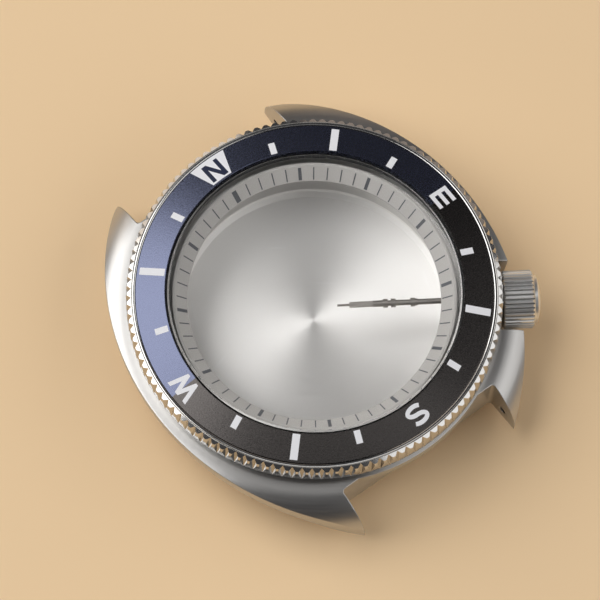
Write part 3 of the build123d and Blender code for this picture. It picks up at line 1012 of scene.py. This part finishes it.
@dataclass
class Winding:
    """The crown, tube, pipe, post, spring and stem."""

    spring_foot: float = 20.55
    spring_head: float = 23.0
    spring_coil_r: float = 0.6
    spring_wire_r: float = 0.08
    spring_turns: int = 4

    def spring(self) -> None:
        """Make the spring between post and washer."""
        on_crown = Matrix.Translation((0, 0, CROWN_HEIGHT)) @ Matrix.Rotation(radians(CROWN_ANGLE), 4, "Z")
        wound = coil(self.spring_coil_r, self.spring_wire_r, self.spring_turns, self.spring_foot,
                     self.spring_head).moved(on_crown @ Matrix.Rotation(pi / 2, 4, "Y"))
        spring = make_piece("crown_spring_coil", wound, SPRING_WIRE, "",
                            ("crown_spring",), rigid=False)
        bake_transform(spring)

    def build(self) -> None:
        """Dress the pieces on the crown's axis."""
        dress_node("crown_shell", CROWN_SATIN)
        dress_node("stem", STEM_HARDENED)
        for node in ("crown_tube", "crown_pipe", "slip_washer"):
            dress_node(node, TUBE_TURNED)
        dress_node("crown_post", STEM_HARDENED)
        self.spring()
        for node in ("crown_gasket", "tube_gasket"):
            dress_node(node, RUBBER_MOULDED)


@dataclass
class Bezel:
    """The coin-edge ring with its collar gasket, click ball and spring.

    bead_outside and bead_inside round the rim: how far each point lies in from the rim, or out from
    the seat, and how far below the top.
    """

    count: int = 120
    notch_steps: int = 6
    outer_r: float = 20.05
    turn_deg: float = 91.75
    bore_r: float = 17.05
    bottom: float = 8.25
    under_r: float = 19.6
    under_top: float = 9.5
    notch_end: float = 9.55
    edge_r: float = 19.92
    edge_z: float = 11.378
    edge_low: float = 10.978
    line_r: float = 19.5
    line_z: float = 11.598
    groove_r: float = 19.45
    groove_z: float = 11.538
    rim_r: float = 19.4
    rim_z: float = 11.658
    bead_outside: tuple[Point, ...] = ((0.0, 0.07), (0.025, 0.035), (0.2, 0.0))
    bead_inside: tuple[Point, ...] = ((0.06, 0.01), (0.0, 0.05))
    seat_r: float = 19.1
    seat_z: float = 10.75
    floor_z: float = 11.15
    gasket_r: float = 17.33
    gasket_low: float = 9.1
    gasket_high: float = 9.9
    tooth_low_r: float = 18.25
    tooth_high_r: float = 19.15
    tooth_depth: float = 0.35
    tooth_start_deg: float = 68.379
    click_deg: float = 70.0
    click_r: float = 18.7
    click_coil_r: float = 0.305
    click_wire_r: float = 0.075
    click_turns: int = 3
    click_foot: float = 5.7
    click_head: float = 7.6
    click_travel: float = 0.2

    def notch(self, aside: float) -> tuple[Point, Point, Point, float]:
        """Where a right-angled V cut, sloping down and outwards, meets the coin edge.

        Args:
            aside: Distance from the middle of the nearest notch.

        Returns:
            The cut's lower and upper ends, the corner above them, and how far the cut reaches aside.
        """
        slope = (self.outer_r - self.line_r) / (self.line_z - self.notch_end)
        land = (self.line_z - self.edge_z) / (self.edge_r - self.line_r)
        chamfer = (self.outer_r - self.edge_r) / (self.edge_z - self.edge_low)
        on_land = (self.edge_r - self.line_r) - slope * (self.line_z - self.edge_z)
        widest = (self.outer_r - self.line_r) - slope * (self.line_z - self.edge_low)
        corner = (self.edge_r, self.edge_z)
        if aside >= widest:
            return (self.outer_r, self.edge_low), (self.outer_r, self.edge_low), corner, widest
        low = (self.outer_r, self.line_z - (self.outer_r - self.line_r - aside) / slope)
        if aside <= on_land:
            out = aside / (1 - land * slope)
            high = (self.line_r + out, self.line_z - land * out)
            return low, high, high, widest
        down = (aside - on_land) / (chamfer - slope)
        return low, (self.edge_r + chamfer * down, self.edge_z - down), corner, widest

    def section(self, aside: float, tooth: float) -> list[Point]:
        """The ring's section at a distance from the middle of the nearest notch.

        Args:
            aside: That distance.
            tooth: Height of the click tooth's roof here.

        Returns:
            Corners as (radius, height), anticlockwise.
        """
        low = self.bottom
        cut_low, cut_high, corner, _ = self.notch(aside)
        bead = [(self.rim_r - inwards, self.rim_z - drop) for inwards, drop in self.bead_outside]
        bead += [(self.seat_r + outwards, self.rim_z - drop) for outwards, drop in self.bead_inside]
        return [
            (self.bore_r, low), (self.tooth_low_r, low), (self.tooth_low_r, low + tooth),
            (self.tooth_high_r, low + tooth), (self.tooth_high_r, low), (self.under_r, low),
            (self.outer_r, self.under_top), cut_low, cut_high, corner, (self.line_r, self.line_z),
            (self.groove_r, self.groove_z), *bead, (self.seat_r, self.seat_z), (self.bore_r, self.floor_z),
            (self.bore_r, self.gasket_high), (self.gasket_r, self.gasket_high),
            (self.gasket_r, self.gasket_low), (self.bore_r, self.gasket_low)]

    def ring(self) -> Shape:
        """Make the whole ring: each pitch has its notch above and its click tooth below.

        Returns:
            The ring in place.
        """
        pitch = 2 * pi / self.count
        widest = self.notch(0.0)[3] / self.outer_r
        jump = (radians(self.tooth_start_deg - self.turn_deg) + pitch / 2) % pitch - pitch / 2
        steps = self.notch_steps
        offsets = sorted([widest * k / steps for k in range(-steps, steps + 1)] + [jump])
        stops = [(o, (o - jump) % pitch / pitch) for o in offsets]
        at = offsets.index(jump)
        stops[at:at + 1] = [(jump, 1.0), (jump, 0.0)]
        points, rows = [], []
        for i in range(self.count):
            middle = radians(self.turn_deg) + i * pitch
            for offset, share in stops:
                angle = middle + offset
                section = self.section(abs(offset) * self.outer_r, self.tooth_depth * share)
                rows.append(range(len(points), len(points) + len(section)))
                points += [(r * cos(angle), r * sin(angle), z) for r, z in section]
        faces = []
        for row, after in zip(rows, rows[1:] + rows[:1]):
            for k in range(len(row)):
                j = (k + 1) % len(row)
                faces.append((row[k], row[j], after[j], after[k]))
        return Shape(np.array(points), faces)

    def click_coil(self) -> None:
        """Make the click ball's spring."""
        place = Matrix.Rotation(radians(self.click_deg), 4, "Z") @ Matrix.Translation((self.click_r, 0, 0))
        wound = coil(self.click_coil_r, self.click_wire_r, self.click_turns, self.click_foot,
                     self.click_head)
        spring = make_piece("click_spring_coil", wound.moved(place), SPRING_WIRE, "case",
                            ("click_spring",), rigid=False)
        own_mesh(spring)

    def build(self) -> None:
        """Make the ring, and dress what works under it."""
        make_piece("bezel_coin_edge_ring", self.ring(), BEZEL_POLISHED, "bezel",
                   ("bezel_ring",))
        dress_node("bezel_gasket", RUBBER_MOULDED)
        dress_node("insert_adhesive", ADHESIVE_FILM)
        dress_node("click_ball", BALL_GROUND)
        self.click_coil()


@dataclass(frozen=True)
class Softbox:
    """A studio softbox that faces the case. Its brightness is its face's own radiance."""

    name: str
    azimuth_deg: float
    elevation_deg: float
    distance: float
    width: float
    height: float
    brightness: float
    colour: str = "#FFFFFF"

    def build(self) -> None:
        """Add the lamp."""
        lamp = bpy.data.lights.new(self.name, "AREA")
        lamp.shape = "RECTANGLE"
        lamp.size, lamp.size_y = self.width, self.height
        lamp.energy = self.brightness * pi * self.width * self.height
        lamp.color = linear(self.colour)[:3]
        flat = cos(radians(self.elevation_deg))
        way = Vector((flat * cos(radians(self.azimuth_deg)), flat * sin(radians(self.azimuth_deg)),
                      sin(radians(self.elevation_deg))))
        holder = bpy.data.objects.new(self.name, lamp)
        holder.location = way * self.distance
        holder.rotation_euler = way.to_track_quat("Z", "Y").to_euler()
        bpy.context.scene.collection.objects.link(holder)


@dataclass
class Studio:
    """Floor, lights and camera."""

    floor_colour: str = "#FFDDAF"
    floor_roughness: float = 0.7
    floor_half: float = 1.5
    world_colour: str = "#444446"
    camera_place: tuple[float, float, float] = (-0.0799, -0.09823, 0.36644)
    camera_right: tuple[float, float, float] = (0.8056, -0.5923, 0.0130)
    camera_up: tuple[float, float, float] = (0.5549, 0.7621, 0.3336)
    lens_mm: float = 213.12
    sensor_mm: float = 36.0
    nearest: float = 0.01

    def floor(self) -> None:
        """Lay the plain pale floor."""
        half = self.floor_half
        corners = [(-half, -half, 0), (half, -half, 0), (half, half, 0), (-half, half, 0)]
        mesh = bpy.data.meshes.new("floor")
        mesh.from_pydata(corners, [], [(0, 1, 2, 3)])
        made, _, shader = Finish("paper_floor").start()
        shader.inputs["Base Color"].default_value = linear(self.floor_colour)
        shader.inputs["Roughness"].default_value = self.floor_roughness
        mesh.materials.append(made)
        piece = bpy.data.objects.new("floor", mesh)
        bpy.context.scene.collection.objects.link(piece)

    def world(self) -> None:
        """Set the dim grey surroundings."""
        made = bpy.data.worlds.new("studio_world")
        made.use_nodes = True
        made.node_tree.nodes["Background"].inputs["Color"].default_value = linear(self.world_colour)
        bpy.context.scene.world = made

    def camera(self) -> None:
        """Place the camera at the photograph's viewing angle."""
        data = bpy.data.cameras.new("camera")
        data.lens = self.lens_mm
        data.sensor_width = self.sensor_mm
        data.clip_start = self.nearest
        holder = bpy.data.objects.new("camera", data)
        right, up = Vector(self.camera_right).normalized(), Vector(self.camera_up).normalized()
        back = right.cross(up)
        turn = Matrix((right, up, back)).transposed().to_4x4()
        holder.matrix_world = Matrix.Translation(self.camera_place) @ turn
        bpy.context.scene.collection.objects.link(holder)
        bpy.context.scene.camera = holder

    def build(self) -> None:
        """Build the studio."""
        self.floor()
        self.world()
        self.camera()
        # Heading and height in degrees, then distance, width and height in metres, and brightness.
        for box in (
            Softbox("left_softbox", 132, 52, 0.7, 0.68, 0.62, 2.7),
            Softbox("top_softbox", -40, 81, 0.9, 0.16, 0.55, 0.9),
            Softbox("right_softbox", -48, 41, 0.7, 1.1, 0.44, 1.2),
            Softbox("far_softbox", 88, 22, 0.9, 0.6, 0.32, 1.0, "#FFF1E2"),
            Softbox("back_card", 30, 16, 1.0, 0.9, 0.3, 0.3, "#FFE9D6"),
        ):
            box.build()
        view = bpy.context.scene.view_settings
        view.view_transform = "Standard"


def main() -> None:
    """Build every sub-assembly and the studio."""
    logging.basicConfig(level=logging.INFO, format="%(name)s %(message)s")
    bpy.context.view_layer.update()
    for part in (CaseMiddle(), Bezel(), BezelInsert(), ChapterRing(), Crystal(), ScrewBack(), Winding()):
        log.info("building %s", type(part).__name__)
        part.build()
    Studio().build()


if __name__ == "__main__":
    main()
